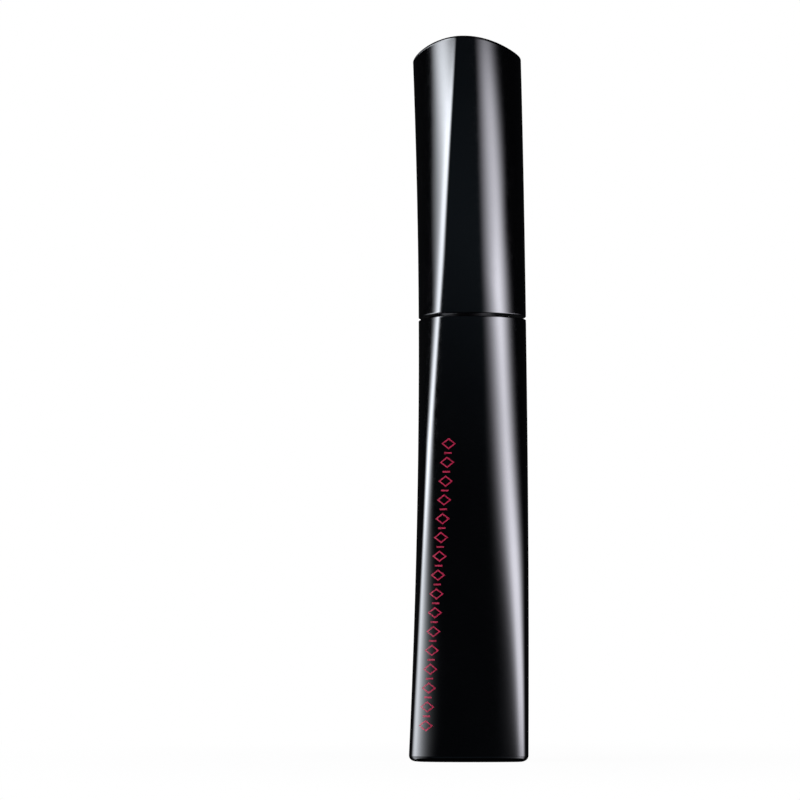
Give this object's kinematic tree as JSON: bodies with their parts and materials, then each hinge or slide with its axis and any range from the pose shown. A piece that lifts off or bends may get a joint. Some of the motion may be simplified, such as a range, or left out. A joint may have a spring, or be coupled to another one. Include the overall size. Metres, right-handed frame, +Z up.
{
  "type": "mascara tube",
  "caption": "Closed mascara tube: twisting creased gloss-black shell, screw cap, and inside it a wiped bottle, a wand and a curved brush.",
  "frame": {"origin": "centre of the base, on the axis of the neck, the wand and the screw thread", "axes": "+Z up along the tube, -Y towards the front face that carries the printed decoration, +X to its right"},
  "size_m": [0.0201, 0.0194, 0.1213],
  "materials": {
    "shell_black": "high gloss lacquer",
    "bottle_black": "satin moulded",
    "collar_black": "gloss",
    "wiper_soft": "soft matte",
    "mascara_black": "wet cream",
    "insert_black": "satin moulded",
    "liner_white": "matte foam",
    "stem_black": "semi gloss",
    "wire_steel": "twisted wire",
    "bristle_black": "fine nylon bristles",
    "print_crimson": "printed ink"
  },
  "bodies": {
    "tube": {"outer_body": "shell_black", "inner_bottle": "bottle_black", "shoulder_collar": "collar_black", "wiper": "wiper_soft", "mascara_fill": "mascara_black"},
    "liner": {"seal_washer": "liner_white"},
    "wand_stem": {"stem": "stem_black"},
    "cap": {"outer_cap": "shell_black", "inner_cap": "insert_black", "brush_core": "wire_steel", "bristles": "bristle_black"}
  },
  "joints": [
    {"name": "wand_withdraw", "type": "slide", "parent": "tube", "child": "liner", "axis": [0, 0, 1], "range_m": [0, 0.095], "deforming": ["wiper", "bristles"]},
    {"name": "thread_rise", "type": "slide", "parent": "liner", "child": "wand_stem", "axis": [0, 0, 1], "range_m": [0, 0.0032]},
    {"name": "cap_unscrew", "type": "hinge", "parent": "wand_stem", "child": "cap", "pos_m": [0, 0, 0.08], "axis": [0, 0, 1], "range_deg": [0, 450]}
  ],
  "couplings": [
    {"joint": "thread_rise", "follows": "cap_unscrew", "m_per_rad": 0.00039789}
  ]
}
